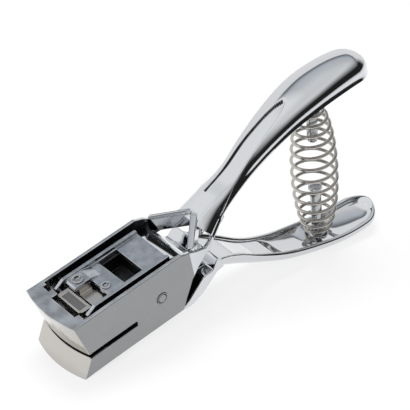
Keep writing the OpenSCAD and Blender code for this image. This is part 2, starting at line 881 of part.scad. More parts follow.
module punch_head() {
    color("gainsboro")
        stand()
            difference() {
                block(punch_x - punch_head_w / 2, punch_x + punch_head_w / 2, slot_l / 2, head_z, head_top);
                block(punch_x - slot_w / 2, punch_x + slot_w / 2, neck_half, head_z - 1, head_top + 1);
                head_rivet_holes();
                for (side = [near, far])
                    translate([punch_x - sweep_x / 2, side * slot_l / 2, pin_z])
                        cube([
                            sweep_x + drive_pin_d + 2 * run_gap, 2 * pin_reach + 0.4, drive_pin_d + 2 * drive_gap
                        ], center = true);
            }
}

module head_rivet(side) {
    color("silver")
        stand()
            intersection() {
                head_rivet_holes();
                translate([punch_x - punch_head_w / 2, side > 0 ? 0 : -through, 0])
                    cube([punch_head_w, through, through]);
            }
}

frame_casting();
guide_block();
guide_screw(near);  // guide_screw_near
guide_screw(far);  // guide_screw_far
die_plate();
die_screw(near);  // die_screw_near
die_screw(far);  // die_screw_far
pivot_pin();
pivot_spacer(near);  // pivot_spacer_near
pivot_spacer(far);  // pivot_spacer_far
upper_spring_peg();
spring();
lower_casting();
lever_channel();
channel_rivet();
tongue_rivet();
drive_block();
drive_pin(near);  // drive_pin_near
drive_pin(far);  // drive_pin_far
lower_spring_boss();
lower_spring_peg();
punch_blade();
punch_head();
head_rivet(near);  // head_rivet_near
head_rivet(far);  // head_rivet_far
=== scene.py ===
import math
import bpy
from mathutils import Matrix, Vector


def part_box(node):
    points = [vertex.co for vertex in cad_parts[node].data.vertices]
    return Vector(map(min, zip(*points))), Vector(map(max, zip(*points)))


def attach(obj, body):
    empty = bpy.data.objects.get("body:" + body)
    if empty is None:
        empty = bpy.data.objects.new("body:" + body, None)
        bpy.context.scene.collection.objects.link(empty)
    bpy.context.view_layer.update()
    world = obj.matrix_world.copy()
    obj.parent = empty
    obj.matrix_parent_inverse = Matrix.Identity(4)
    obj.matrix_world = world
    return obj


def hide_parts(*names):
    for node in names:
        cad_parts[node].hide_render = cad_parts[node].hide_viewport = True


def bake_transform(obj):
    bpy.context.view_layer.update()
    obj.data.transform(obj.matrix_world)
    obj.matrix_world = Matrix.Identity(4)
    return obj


bl_info = {
    "name": "Card slot punch",
    "version": (1, 0, 0),
    "blender": (4, 5, 0),
    "location": "View3D > Sidebar > Slot punch",
    "description": "Dresses a hand-held slot punch for badges in chrome plate and bright steel",
    "category": "Object",
}

import bmesh
import bpy
from bpy.props import FloatProperty, FloatVectorProperty, PointerProperty
from mathutils import Matrix, Vector

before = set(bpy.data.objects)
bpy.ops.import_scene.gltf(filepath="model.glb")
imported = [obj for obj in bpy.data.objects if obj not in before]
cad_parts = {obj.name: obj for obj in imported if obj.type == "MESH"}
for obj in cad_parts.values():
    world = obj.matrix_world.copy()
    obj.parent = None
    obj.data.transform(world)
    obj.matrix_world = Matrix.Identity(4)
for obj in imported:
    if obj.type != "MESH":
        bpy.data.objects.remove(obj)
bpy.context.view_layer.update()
MM = 0.001

# The head's own axes: x back from its lower front edge, y across, z up from its underside, in mm.
# As the punch stands they tip up at the back, so they are placed by the pivot pin.
TIP = math.radians(13.2)
PIVOT_X, PIVOT_Z = 38.0, 11.8
PIN_MIDDLE = sum(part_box("pivot_pin"), Vector()) / 2
# Where the handles' necks begin, the width between the cheeks, and the head's height.
NECK_X, INNER_W, HEAD_H = 62.0, 25.4, 24.4


def place(x, y, z):
    """A point in the head's own axes, in mm, as it stands on the table, in metres."""
    dx, dz = x - PIVOT_X, z - PIVOT_Z
    across = dx * math.cos(TIP) - dz * math.sin(TIP)
    up = dx * math.sin(TIP) + dz * math.cos(TIP)
    return PIN_MIDDLE + Vector((across, y, up)) * MM


def head_matrix():
    """Turns the head's own axes, in mm, into places on the table, in metres."""
    origin = place(0, 0, 0)
    axes = [place(*axis) - origin for axis in ((1, 0, 0), (0, 1, 0), (0, 0, 1))]
    return Matrix.Translation(origin) @ Matrix(axes).transposed().to_4x4()


HEAD = head_matrix()


def srgb(text):
    """The linear colour of a hex sRGB one."""
    parts = [int(text[i : i + 2], 16) / 255 for i in (1, 3, 5)]
    return [p / 12.92 if p <= 0.04045 else ((p + 0.055) / 1.055) ** 2.4 for p in parts]


def colour_setting(name, text, description):
    """A colour of the panel, given as hex sRGB."""
    return FloatVectorProperty(
        name=name, description=description, subtype="COLOR", size=3, min=0, max=1,
        default=srgb(text),
    )


def length_setting(name, description, default, low, high):
    """A length of the panel, given in mm."""
    return FloatProperty(
        name=name, description=description, default=default * MM, min=low * MM, max=high * MM,
        unit="LENGTH", precision=5,
    )


class SlotPunchSizes(bpy.types.PropertyGroup):
    edge_round: length_setting(
        "Edge rounding", "Radius on the castings' polished edges", 0.3, 0.05, 0.6
    )
    sheet_edge_round: length_setting(
        "Sheet edge rounding", "Radius on the pressed plate's edges", 0.22, 0.05, 0.4
    )
    bead: length_setting(
        "Handle bead", "How far the upper handle's rolled rim stands out", 0.65, 0, 1.2
    )
    wire: length_setting("Spring wire", "Thickness of the spring's wire", 1.3, 0.8, 1.5)


class SlotPunchFinishes(bpy.types.PropertyGroup):
    chrome: colour_setting("Chrome plate", "#D4D6D9", "Polished chrome plate on the castings")
    cheek: colour_setting("Linished cheek", "#989A9B", "Flat cheeks, plated over a linished face")
    front: colour_setting("Jaw fronts", "#C4C1BC", "Chrome over the jaws' ground fronts")
    # Painted shade: the dark colour of the head's hollow stands in for the shade in it.
    inside: colour_setting("Painted inside shade", "#4E4F52", "Dark, dull metal that paints the shade in the head's hollow")
    plate: colour_setting("Pressed plate", "#C6CAD0", "Lever plate, zinc plated")
    block: colour_setting("Ground steel", "#CFCBC6", "Guide, drive block and punch head")
    tool: colour_setting("Tool steel", "#8C8A88", "Blade and die")
    wire: colour_setting("Spring wire", "#B9B5B0", "Nickel-plated spring wire")
    pin: colour_setting("Bright pins", "#C4C5C7", "Pins, pegs and rivets")
    screw: colour_setting("Screws", "#6E6F72", "Blued screws")
    floor: colour_setting("Floor", "#F2F2F2", "Pale studio floor")


def add(tree, kind, links=(), **settings):
    """Adds one node, sets its fields and sockets, and links sockets by name or number."""
    node = tree.nodes.new(kind)
    for key, value in settings.items():
        if hasattr(node, key):
            setattr(node, key, value)
        else:
            node.inputs[key.replace("_", " ")].default_value = value
    for socket, source in links:
        tree.links.new(source, node.inputs[socket])
    return node


def remap(tree, value, start, end, at_start, at_end):
    """Carries a value from one range to another, and holds it there."""
    return add(
        tree, "ShaderNodeMapRange", [("Value", value)],
        From_Min=start, From_Max=end, To_Min=at_start, To_Max=at_end,
    ).outputs["Result"]


def maths(tree, operation, first, second):
    """Joins a socket with another one or with a number."""
    node = add(tree, "ShaderNodeMath", [(0, first)], operation=operation)
    if isinstance(second, float):
        node.inputs[1].default_value = second
    else:
        tree.links.new(second, node.inputs[1])
    return node.outputs[0]


def ramp(tree, source, stops):
    """A colour that runs through stops of (position, colour) along a value."""
    node = add(tree, "ShaderNodeValToRGB", [("Fac", source)])
    elements = node.color_ramp.elements
    elements.remove(elements[-1])
    elements[0].position = stops[0][0]
    elements[0].color = (*stops[0][1], 1)
    for position, colour in stops[1:]:
        elements.new(position).color = (*colour, 1)
    return node.outputs["Color"]


def noise(tree, spot, size, detail):
    """A noise with patches of about one size, in metres."""
    return add(
        tree, "ShaderNodeTexNoise", [("Vector", spot)], Scale=1 / size, Detail=detail
    ).outputs["Fac"]


def bump(tree, height, depth):
    """A relief of one depth, in metres."""
    return add(tree, "ShaderNodeBump", [("Height", height)], Strength=1.0, Distance=depth)


# The patches in which a polish varies, the middle part of a noise's range that it and the specks
# run over, how far grain is drawn out along the head, and the smoothest polish.
POLISH_PATCH = 6 * MM
POLISH_RANGE, SPECK_RANGE = (0.3, 0.7), (0.35, 0.65)
GRAIN_STRETCH = 0.04
SMOOTHEST = 0.01


def metal(name, colour, rough, spread, grain=None, wave=None, speck=None):
    """A metal whose polish varies a little, with a wave or a grain and with specks.

    Each of the three is a (size, depth): a length and either a height or a share of the colour.
    """
    material = bpy.data.materials.new(name)
    material.use_nodes = True
    tree = material.node_tree
    shader = tree.nodes["Principled BSDF"]
    shader.inputs["Base Color"].default_value = (*colour, 1)
    shader.inputs["Metallic"].default_value = 1
    shader.inputs["Roughness"].default_value = rough
    spot = add(tree, "ShaderNodeTexCoord").outputs["Object"]
    polish = (max(rough - spread, SMOOTHEST), rough + spread)
    vary = remap(tree, noise(tree, spot, POLISH_PATCH, 3), *POLISH_RANGE, *polish)
    tree.links.new(vary, shader.inputs["Roughness"])
    if speck:
        size, depth = speck
        dull = [c * (1 - depth) for c in colour]
        stops = list(zip(SPECK_RANGE, (dull, colour)))
        tree.links.new(ramp(tree, noise(tree, spot, size, 4), stops), shader.inputs["Base Color"])
    relief = None
    if wave:
        size, depth = wave
        relief = bump(tree, noise(tree, spot, size, 1), depth)
    elif grain:
        size, depth = grain
        run = add(
            tree, "ShaderNodeMapping", [("Vector", spot)],
            Scale=(GRAIN_STRETCH, 1, 1), Rotation=(0, TIP, 0),
        )
        relief = bump(tree, noise(tree, run.outputs[0], size, 2), depth)
    if relief:
        tree.links.new(relief.outputs["Normal"], shader.inputs["Normal"])
    return material


def finish(name, colour, rough, spread, **texture):
    """The metal of that name in one of the panel's colours, made on its first use."""
    finishes = bpy.context.scene.slot_punch_finishes
    found = bpy.data.materials.get(name)
    return found or metal(name, getattr(finishes, colour), rough, spread, **texture)


def chrome():
    # Bright chrome over polished zinc: mirror-like, with the faint swell that buffing leaves.
    return finish("chrome plate on polished zinc", "chrome", 0.07, 0.02, wave=(9 * MM, 0.02 * MM))


def cheek_chrome():
    # The flat cheeks are linished before plating: satin, and greyer than the buffed castings.
    return finish(
        "chrome plate on linished zinc", "cheek", 0.3, 0.04, grain=(0.5 * MM, 0.004 * MM)
    )


def cloudy_chrome():
    # The head's flat top is only lightly buffed under its plate, so it looks cloudy.
    return finish(
        "chrome plate on a lightly buffed face", "chrome", 0.12, 0.06,
        wave=(4 * MM, 0.02 * MM), speck=(5 * MM, 0.35),
    )


def front_chrome():
    # The jaws' fronts are ground by hand before plating, so their mirror is uneven and warmer.
    return finish("chrome plate on ground jaws", "front", 0.1, 0.04, wave=(11 * MM, 0.5 * MM))


def painted_shade_inside():
    # Painted shade: the hollow inside the head, and the lever arm's root within it, get a dark,
    # dull metal that paints the shade there.
    return finish("dark metal painted as the hollow's shade", "inside", 0.42, 0.08, speck=(2 * MM, 0.4))


def pressed_steel():
    # Pressed strip with a bright zinc plate: smooth, slightly cloudy.
    return finish("zinc plate on pressed steel", "plate", 0.2, 0.06, speck=(3 * MM, 0.25))


def ground_steel():
    # Surface-ground steel: bright, with short grinding lines.
    return finish("surface-ground steel", "block", 0.2, 0.05, grain=(0.35 * MM, 0.006 * MM))


def tool_steel():
    # Hardened tool steel, ground: darker and duller.
    return finish("hardened tool steel", "tool", 0.28, 0.06, grain=(0.35 * MM, 0.006 * MM))


def wire_steel():
    # Nickel-plated spring wire: bright, and evenly smooth.
    return finish("nickel plate on spring wire", "wire", 0.07, 0.03)


def pin_steel():
    # Turned and polished steel pins, a little spotted.
    return finish("polished steel pins", "pin", 0.16, 0.05, speck=(1.5 * MM, 0.2))


def screw_steel():
    # Blued machine screws.
    return finish("blued steel screws", "screw", 0.3, 0.05)


# The angle in degrees from which an edge stays sharp on castings and pressings, on turned pins
# and seats, and on swept handles and wire.
CAST_SHARP, PIN_SHARP, SEAT_SHARP, SWEPT_SHARP = 25.0, 30.0, 40.0, 60.0


def new_piece(name, bm, materials, body, replaced, sharp):
    """Turns a finished bmesh into a piece, which rides on a body if one is given."""
    mesh = bpy.data.meshes.new(name)
    bm.to_mesh(mesh)
    bm.free()
    for material in materials:
        mesh.materials.append(material)
    piece = bpy.data.objects.new(name, mesh)
    bpy.context.scene.collection.objects.link(piece)
    mesh.shade_smooth()
    mesh.set_sharp_from_angle(angle=math.radians(sharp))
    if body:
        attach(piece, body)
    if replaced:
        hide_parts(*replaced)
    return piece


# Points closer than this are one, and faces within this angle are one flat face.
WELD_GAP, FLAT_ANGLE = 0.002 * MM, math.radians(0.5)
# How near a cut a point counts as on it.
CUT_GAP = 0.0001 * MM
# Edges that turn by more than this are rounded, in so many steps.
ROUND_FROM, ROUND_STEPS = math.radians(32), 3
# How much more a large face counts than a small one in the shading of its corners.
FLAT_WEIGHT = 80


def cad_copy(node):
    """A merged copy of a CAD node's mesh, with its flat faces whole again."""
    bm = bmesh.new()
    bm.from_mesh(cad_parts[node].data)
    bmesh.ops.remove_doubles(bm, verts=bm.verts, dist=WELD_GAP)
    bmesh.ops.dissolve_limit(
        bm, angle_limit=FLAT_ANGLE, verts=bm.verts, edges=bm.edges, delimit=set()
    )
    return bm


def cut_behind(bm, x):
    """Removes what lies behind x in the head's axes; the handle's own shape covers the cut."""
    bmesh.ops.bisect_plane(
        bm, geom=bm.verts[:] + bm.edges[:] + bm.faces[:], plane_co=place(x, 0, 0),
        plane_no=(HEAD.to_3x3() @ Vector((1, 0, 0))).normalized(), clear_outer=True, dist=CUT_GAP,
    )


def round_edges(piece, width):
    """Rounds a piece's edges and keeps its flat faces flat in the light."""
    rounding = piece.modifiers.new("rounded edges", "BEVEL")
    rounding.width = width
    rounding.segments = ROUND_STEPS
    rounding.limit_method = "ANGLE"
    rounding.angle_limit = ROUND_FROM
    rounding.miter_outer = "MITER_ARC"
    rounding.use_clamp_overlap = False
    flat = piece.modifiers.new("flat faces", "WEIGHTED_NORMAL")
    flat.keep_sharp = True
    flat.weight = FLAT_WEIGHT


def clothe(node, material):
    """Gives a CAD node, as it is, its finish."""
    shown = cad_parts[node]
    shown.data.materials.clear()
    shown.data.materials.append(material)


# The handles' tips, and the widths and heights of the neck, grip, waist and tray.
UPPER_TIP, LOWER_TIP = 153.0, 148.5
NECK_W, GRIP_W, GRIP_H = 13.2, 20.4, 9.0
WAIST_W, TRAY_W, TRAY_H = 14.6, 18.2, 5.2
# How far the head's rounded nose reaches before x = 0, and the tray's clearance over the table.
NOSE_BULGE, TABLE_GAP = 2.0, 0.03

# Stations along each handle: place, height of the rim, half width, and crown or belly over it.
# The curve runs between the second and the last but one.
UPPER = [
    (NECK_X, 14.9, 11.2, 7.6), (NECK_X + 5, 17.2, 9.8, 7.4),
    (NECK_X + 13, 22.4, NECK_W / 2 + 1.2, 5.9), (86, 27.4, NECK_W / 2, 5),
    (97, 33.1, NECK_W / 2 + 1, 5.9), (110, 38.3, GRIP_W / 2 - 1.1, GRIP_H - 2.3),
    (122, 40.8, GRIP_W / 2, GRIP_H - 0.9), (133, 41, GRIP_W / 2 - 0.2, GRIP_H),
    (143, 39.9, GRIP_W / 2 - 1.2, GRIP_H), (UPPER_TIP - 2, 37.1, GRIP_W / 2 - 3.4, GRIP_H - 1),
    (UPPER_TIP + 4, 33, GRIP_W / 2 - 5, GRIP_H - 2),
]


def rim_over_table(x, over):
    """The rim's height in the head's axes where the tray's belly is so far over the table."""
    return -(x + NOSE_BULGE) * math.tan(TIP) + TRAY_H / math.cos(TIP) + over + TABLE_GAP


LOWER = [
    (NECK_X - 5, 8.6, 12.8, 7), (NECK_X + 3, 8.6, 11.8, 5.8), (NECK_X + 14, 1.4, 8.8, 6.4),
    (88, -8.6, WAIST_W / 2, TRAY_H), (100, -15.7, WAIST_W / 2 + 0.7, TRAY_H),
    (113, rim_over_table(113, 0.9), TRAY_W / 2 - 0.3, TRAY_H),
    (126, rim_over_table(126, 0.05), TRAY_W / 2, TRAY_H),
    (138, rim_over_table(138, 1.4), TRAY_W / 2 - 0.3, TRAY_H),
    (LOWER_TIP - 3, rim_over_table(LOWER_TIP - 3, 4.2), TRAY_W / 2 - 1.6, TRAY_H),
    (LOWER_TIP + 5, rim_over_table(LOWER_TIP + 5, 8.6), TRAY_W / 2 - 3, TRAY_H),
]


def along(stations, s):
    """A smooth curve through the stations, at s."""
    i = min(int(s), len(stations) - 4)
    t = s - i
    return [
        0.5 * (
            2 * q + (r - p) * t + (2 * p - 5 * q + 4 * r - w) * t**2
            + (3 * q - p - 3 * r + w) * t**3
        )
        for p, q, r, w in zip(*stations[i : i + 4])
    ]


def smooth_step(value):
    t = min(max(value, 0), 1)
    return t * t * (3 - 2 * t)


# The leaf sunk in the upper handle's crown: its depth, its shift to the near side, the width of
# its sloped edge, the wall left under it, and its half width at places along the handle.
LEAF_DEPTH, LEAF_SHIFT, LEAF_EDGE, LEAF_WALL = 1.3, 0.9, 0.8, 0.8
LEAF_HALVES = [
    (60, 3.2), (70, 3.4), (84, 3.9), (96, 3.7), (105, 3.1), (110, 2.3), (112.6, 1.2), (113.6, 0),
]


def leaf_share(x, y):
    """How much of the sunk leaf's depth a point on the upper handle's crown takes."""
    for (x0, w0), (x1, w1) in zip(LEAF_HALVES, LEAF_HALVES[1:]):
        if x0 <= x < x1:
            half = w0 + (w1 - w0) * (x - x0) / (x1 - x0)
            return smooth_step((half - abs(y + LEAF_SHIFT)) / LEAF_EDGE)
    return 0


# A handle's loops crowd toward its tip, which closes over the last stations as a rounded end.
RING_CROWDING, TIP_ROUND = 1.5, 1.1
# Its direction is taken between the curve's points so far before and after.
TURN_REACH = 0.02
# Its section is an oval of this power, squarer than an ellipse, and never thinner than this.
SECTION_POWER, THINNEST = 0.75, 0.02
RIM_STEPS = 6
# The bead is fullest this far over the rim's edge, and fades within this height.
BEAD_UP, BEAD_FADE = 1.0, 0.8
# The bead moves what lies past this share of the half width, and so much of it is taken off the
# body.
BEAD_FROM, BEAD_INSET = 0.3, 0.6
# Toward the tip: the least share of the depth, the wall's most shares of the half width and the
# depth, and how soon the hollow and the bead end.
TIP_DEPTH, WALL_OF_HALF, WALL_OF_DEPTH = 0.3, 0.45, 0.4
HOLLOW_END, BEAD_END = 2.2, 1.2


def handle_loops(stations, side, hollow_at, wall, bead, rings, steps, leaf=False):
    """Closed loops round a handle's wall, from the neck to its rounded tip, in the head's axes.

    Each runs over the crown (side 1) or belly (side -1), round one rim, back inside and round
    the other rim. Its points lie y across and n out from the rim's line.
    """
    last = len(stations) - 3
    loops = []
    for k in range(rings + 1):
        s = last * (1 - (1 - k / rings) ** RING_CROWDING)
        x, z, half, deep = along(stations, s)
        before = along(stations, max(s - TURN_REACH, 0))
        after = along(stations, min(s + TURN_REACH, last))
        turn = math.atan2(after[1] - before[1], after[0] - before[0])
        left = last - s
        close = math.sqrt(max(1 - (1 - left / TIP_ROUND) ** 2, 0)) if left < TIP_ROUND else 1.0
        half = max(half * close, THINNEST)
        deep *= max(close, TIP_DEPTH)
        thick = min(wall, half * WALL_OF_HALF, deep * WALL_OF_DEPTH)
        rim = thick / 2
        hollow = max(min(hollow_at(x), left * HOLLOW_END, 1), 0)
        inner = max((deep - thick) * hollow - rim, THINNEST)
        stand = bead * min(close * BEAD_END, 1)
        body = half - stand * BEAD_INSET
        floor = deep - LEAF_DEPTH
        line = []

        def out(y, n, swell):
            """Adds a point, moved outward by its share of the bead."""
            lift = swell * stand * math.exp(-(((n - BEAD_UP) / BEAD_FADE) ** 2))
            y += math.copysign(lift, y) if abs(y) > half * BEAD_FROM else 0
            line.append(Vector((x - side * n * math.sin(turn), y, z + side * n * math.cos(turn))))

        def pressed(y, n, level):
            """The height of a point where the leaf presses it down toward a level."""
            if not leaf or n <= level:
                return n
            return n + leaf_share(x - n * math.sin(turn), y) * (level - n)

        def around_rim(a):
            """A point's distance from the middle and its height on the rim's half circle."""
            return body - rim + rim * math.cos(a), rim - rim * math.sin(a)

        for i in range(1, steps):
            u = math.pi * i / steps
            y, n = body * math.cos(u), rim + (deep - rim) * math.sin(u) ** SECTION_POWER
            out(y, pressed(y, n, floor), 1)
        for i in range(RIM_STEPS + 1):
            a = math.pi * i / RIM_STEPS
            away, n = around_rim(a)
            out(-away, n, max(math.cos(a), 0))
        for i in range(1, steps):
            u = math.pi * (1 + math.cos(math.pi * i / steps)) / 2
            y, n = (body - thick) * math.cos(u), rim + inner * math.sin(u) ** SECTION_POWER
            out(y, pressed(y, n, floor - LEAF_WALL), 0)
        for i in range(RIM_STEPS + 1):
            a = math.pi * (1 - i / RIM_STEPS)
            away, n = around_rim(a)
            out(away, n, max(math.cos(a), 0))
        loops.append(line)
    return loops


def sweep(loops, matrix):
    """Draws one closed loop, pulls it along through the others' places and caps both ends."""
    bm = bmesh.new()
    ring = [bm.verts.new(matrix @ p) for p in loops[0]]
    edges = [bm.edges.new(pair) for pair in zip(ring, ring[1:] + ring[:1])]
    first = list(edges)
    for loop in loops[1:]:
        made = bmesh.ops.extrude_edge_only(bm, edges=edges)["geom"]
        fresh = {item for item in made if isinstance(item, bmesh.types.BMVert)}
        drawn = [item for item in made if isinstance(item, bmesh.types.BMEdge)]
        edges = [edge for edge in drawn if set(edge.verts) <= fresh]
        ring = [
            next(e.other_vert(v) for e in v.link_edges if e.other_vert(v) in fresh) for v in ring
        ]
        for vert, point in zip(ring, loop):
            vert.co = matrix @ point
    bmesh.ops.holes_fill(bm, edges=first + edges, sides=0)
    bmesh.ops.recalc_face_normals(bm, faces=bm.faces)
    return bm


# Where the handles' hollows begin and over what length they reach their full depth.
HOLLOW_RUN = 4.0
DISH_FROM, DISH_RUN = 91.0, 9.0
# The spring's seat in the dish: its middle, half its length and how far it fills the dish.
SEAT_X, SEAT_HALF, SEAT_RISE = 118.5, 5.0, 0.55


def upper_hollow(x):
    """How far the upper handle is hollow."""
    return (x - NECK_X) / HOLLOW_RUN


def dish(x):
    """How far the lower handle is dished: two recesses with the spring's seat between them."""
    seat = 1 - SEAT_RISE * math.exp(-(((x - SEAT_X) / SEAT_HALF) ** 4))
    return min((x - DISH_FROM) / DISH_RUN, 1) * seat


# The head's finishes by number; the inside one is painted shade for the hollow.
CAST, CHEEK, SHADED_INSIDE, TOP, FRONT = range(5)
# The cheeks' faces lie past this y, the jaws' fronts before this x, and the hollow between them.
CHEEK_Y, FRONT_X = 12.9, 8
HOLLOW_FROM, HOLLOW_TO, HOLLOW_Y = 4.8, NECK_X - 8, INNER_W / 2 + 0.05
# The hollow's faces keep this far from the head's top and underside.
SKIN = 0.3
# How squarely a cheek, a front and the top face outward.
OUTWARD, FORWARD, UPWARD = 0.995, -0.7, 0.98


def head_finish(middle, facing):
    """Which of its finishes a face of the head has, by its middle and where it faces."""
    if abs(facing.y) > OUTWARD and abs(middle.y) > CHEEK_Y and middle.x < NECK_X:
        return CHEEK
    if facing.x < FORWARD and middle.x < FRONT_X:
        return FRONT
    # Faces within the hollow between the cheeks get the painted shade.
    within = abs(middle.y) < HOLLOW_Y and HOLLOW_FROM < middle.x < HOLLOW_TO
    if within and SKIN < middle.z < HEAD_H - SKIN:
        return SHADED_INSIDE
    if facing.z > UPWARD and middle.z > HEAD_H - SKIN and middle.x < NECK_X:
        return TOP
    return CAST


# Where the swept handles take over from the castings' own shapes.
HEAD_CUT, ARM_CUT = NECK_X + 12, NECK_X + 5.4


class SLOTPUNCH_OT_head(bpy.types.Operator):
    """Cast head with its card slit, cheeks and web"""

    bl_idname = "slotpunch.head"
    bl_label = "Head"

    def execute(self, context):
        bm = cad_copy("frame_casting")
        cut_behind(bm, HEAD_CUT)
        to_head = HEAD.inverted()
        for face in bm.faces:
            facing = to_head.to_3x3() @ face.normal * MM
            face.material_index = head_finish(to_head @ face.calc_center_median(), facing)
        # The third finish paints the shade of the hollow.
        finishes = [chrome(), cheek_chrome(), painted_shade_inside(), cloudy_chrome(), front_chrome()]
        piece = new_piece(
            "head", bm, finishes, "frame", ["frame_casting"], CAST_SHARP
        )
        round_edges(piece, context.scene.slot_punch_sizes.edge_round)
        return {"FINISHED"}


class SLOTPUNCH_OT_upper_handle(bpy.types.Operator):
    """Hollow upper handle with its rolled rim and its sunk leaf"""

    bl_idname = "slotpunch.upper_handle"
    bl_label = "Upper handle"

    def execute(self, context):
        bead = context.scene.slot_punch_sizes.bead / MM
        loops = handle_loops(
            UPPER, 1, upper_hollow, wall=1.9, bead=bead, rings=150, steps=72, leaf=True
        )
        new_piece(
            "upper_handle", sweep(loops, HEAD), [chrome()], "frame",
            ["frame_casting"], SWEPT_SHARP,
        )
        return {"FINISHED"}


# The lever arm is painted with the inside's shade up to here, where it lies within the head.
ARM_SHADE_PAINTED_TO = 43


class SLOTPUNCH_OT_lower_handle(bpy.types.Operator):
    """Lower handle: the arm and shoulders between the cheeks and the dished handle"""

    bl_idname = "slotpunch.lower_handle"
    bl_label = "Lower handle"

    def execute(self, context):
        arm = cad_copy("lower_casting")
        cut_behind(arm, ARM_CUT)
        to_head = HEAD.inverted()
        for face in arm.faces:
            middle = to_head @ face.calc_center_median()
            # Faces of the arm within the head get the painted shade of the inside.
            face.material_index = int(middle.x < ARM_SHADE_PAINTED_TO and abs(middle.y) < INNER_W / 2)
        piece = new_piece(
            "lever_arm", arm, [chrome(), painted_shade_inside()], "lower_handle",
            ["lower_casting"], CAST_SHARP,
        )
        round_edges(piece, context.scene.slot_punch_sizes.edge_round)
        loops = handle_loops(LOWER, -1, dish, wall=2.2, bead=0.0, rings=110, steps=36)
        new_piece(
            "lower_handle_tray", sweep(loops, HEAD), [chrome()], "lower_handle",
            ["lower_casting"], SWEPT_SHARP,
        )
        return {"FINISHED"}


# The ends of the spring's axis, in the head's axes, and its turns and diameters, in mm.
SPRING_BOTTOM, SPRING_TOP = Vector((118.8, 0, -23)), Vector((125.2, 0, 35.5))
SPRING_LENGTH = (SPRING_TOP - SPRING_BOTTOM).length
SPRING_TURNS, SPRING_MID, SPRING_END = 13, 18.4, 9.6
# How full its barrel is, how much closer its end turns lie, and how finely it's drawn.
BARREL_POWER, END_CROWDING = 0.8, 0.24
STEPS_A_TURN, WIRE_SIDES = 40, 12


def spring_axis():
    """Turns places along the spring, in mm from its lower seat, into places on the table."""
    way = (SPRING_TOP - SPRING_BOTTOM).normalized()
    across = Vector((0, 1, 0)).cross(way)
    turn = Matrix((across, Vector((0, 1, 0)), way)).transposed().to_4x4()
    return HEAD @ Matrix.Translation(SPRING_BOTTOM) @ turn


class SLOTPUNCH_OT_spring(bpy.types.Operator):
    """Barrel spring between the handles"""

    bl_idname = "slotpunch.spring"
    bl_label = "Spring"

    def execute(self, context):
        wire = context.scene.slot_punch_sizes.wire / MM
        steps = SPRING_TURNS * STEPS_A_TURN

        def point(i):
            u = i / steps
            a = 2 * math.pi * i / STEPS_A_TURN
            swell = max(math.sin(math.pi * u), 0) ** BARREL_POWER
            r = (SPRING_END + (SPRING_MID - SPRING_END) * swell - wire) / 2
            climb = u - END_CROWDING * math.sin(2 * math.pi * u) / (2 * math.pi)
            up = wire / 2 + (SPRING_LENGTH - wire) * climb
            return Vector((r * math.cos(a), r * math.sin(a), up))

        line = [point(i) for i in range(steps + 1)]
        loops = []
        for i, here in enumerate(line):
            way = (line[min(i + 1, steps)] - line[max(i - 1, 0)]).normalized()
            out = Vector((0, 0, 1)).cross(way).normalized()
            up = way.cross(out)
            turns = (2 * math.pi * k / WIRE_SIDES for k in range(WIRE_SIDES))
            loops.append([here + wire / 2 * (out * math.cos(a) + up * math.sin(a)) for a in turns])
        axis = spring_axis()
        piece = new_piece(
            "barrel_spring", sweep(loops, axis), [wire_steel()], None, (),
            SWEPT_SHARP,
        )
        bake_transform(piece)
        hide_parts("spring")
        return {"FINISHED"}


# The sides of a turned piece, and how near its points are to become one, in mm.
TURNED_SIDES, TURNED_WELD = 48, 1e-4


def turned(name, profile, matrix, material, body, node, sharp):
    """A turned piece: a line of (radius, height) points, in mm, spun about z and then placed."""
    bm = bmesh.new()
    verts = [bm.verts.new((r, 0, h)) for r, h in profile]
    edges = [bm.edges.new(pair) for pair in zip(verts, verts[1:])]
    bmesh.ops.spin(
        bm, geom=verts + edges, cent=(0, 0, 0), axis=(0, 0, 1), angle=2 * math.pi,
        steps=TURNED_SIDES, use_merge=True,
    )
    bmesh.ops.remove_doubles(bm, verts=bm.verts, dist=TURNED_WELD)
    bmesh.ops.recalc_face_normals(bm, faces=bm.faces)
    bm.transform(matrix)
    return new_piece(name, bm, [material], body, [node], sharp)


# Profiles from the spring's lower end, and from its upper one.
LOWER_BOSS = [
    (0, 0), (3.6, 0), (4.0, -0.4), (4.35, -2.0), (5.2, -3.1), (6.4, -3.6), (0, -3.9),
]
LOWER_PEG = [
    (0, 22), (1.9, 22), (2.5, 21.7), (2.7, 21.2), (2.7, 20.8), (2.4, 20.5), (2.1, 20.2),
    (2.1, -3), (0, -3),
]
UPPER_BOSS = [(0, 12.9), (4.2, 12.9), (4.2, 0.4), (3.8, 0), (0, 0)]
UPPER_PEG = [(0, 2), (2.1, 2), (2.1, -14.9), (1.7, -15.5), (0, -15.5)]


class SLOTPUNCH_OT_spring_seats(bpy.types.Operator):
    """Bosses and pegs that hold the spring's ends"""

    bl_idname = "slotpunch.spring_seats"
    bl_label = "Spring seats"

    def execute(self, context):
        low = spring_axis()
        high = low @ Matrix.Translation((0, 0, SPRING_LENGTH))
        turned(
            "lower_boss", LOWER_BOSS, low, chrome(), "lower_handle",
            "lower_spring_boss", SEAT_SHARP,
        )
        turned(
            "lower_peg", LOWER_PEG, low, pin_steel(), "lower_handle",
            "lower_spring_peg", SEAT_SHARP,
        )
        turned(
            "upper_boss", UPPER_BOSS, high, chrome(), "frame",
            "frame_casting", SEAT_SHARP,
        )
        turned(
            "upper_peg", UPPER_PEG, high, pin_steel(), "frame",
            "upper_spring_peg", SEAT_SHARP,
        )
        return {"FINISHED"}


class SLOTPUNCH_OT_lever(bpy.types.Operator):
    """Pressed lever plate with its window, flanges and tongue, and the block under it"""

    bl_idname = "slotpunch.lever"
    bl_label = "Lever plate"

    def execute(self, context):
        width = context.scene.slot_punch_sizes.sheet_edge_round
        for name, node, steel in (
            ("lever_plate", "lever_channel", pressed_steel),
            ("drive_block_ground", "drive_block", ground_steel),
        ):
            piece = new_piece(
                name, cad_copy(node), [steel()], "lower_handle", [node],
                CAST_SHARP,
            )
            round_edges(piece, width)
        return {"FINISHED"}


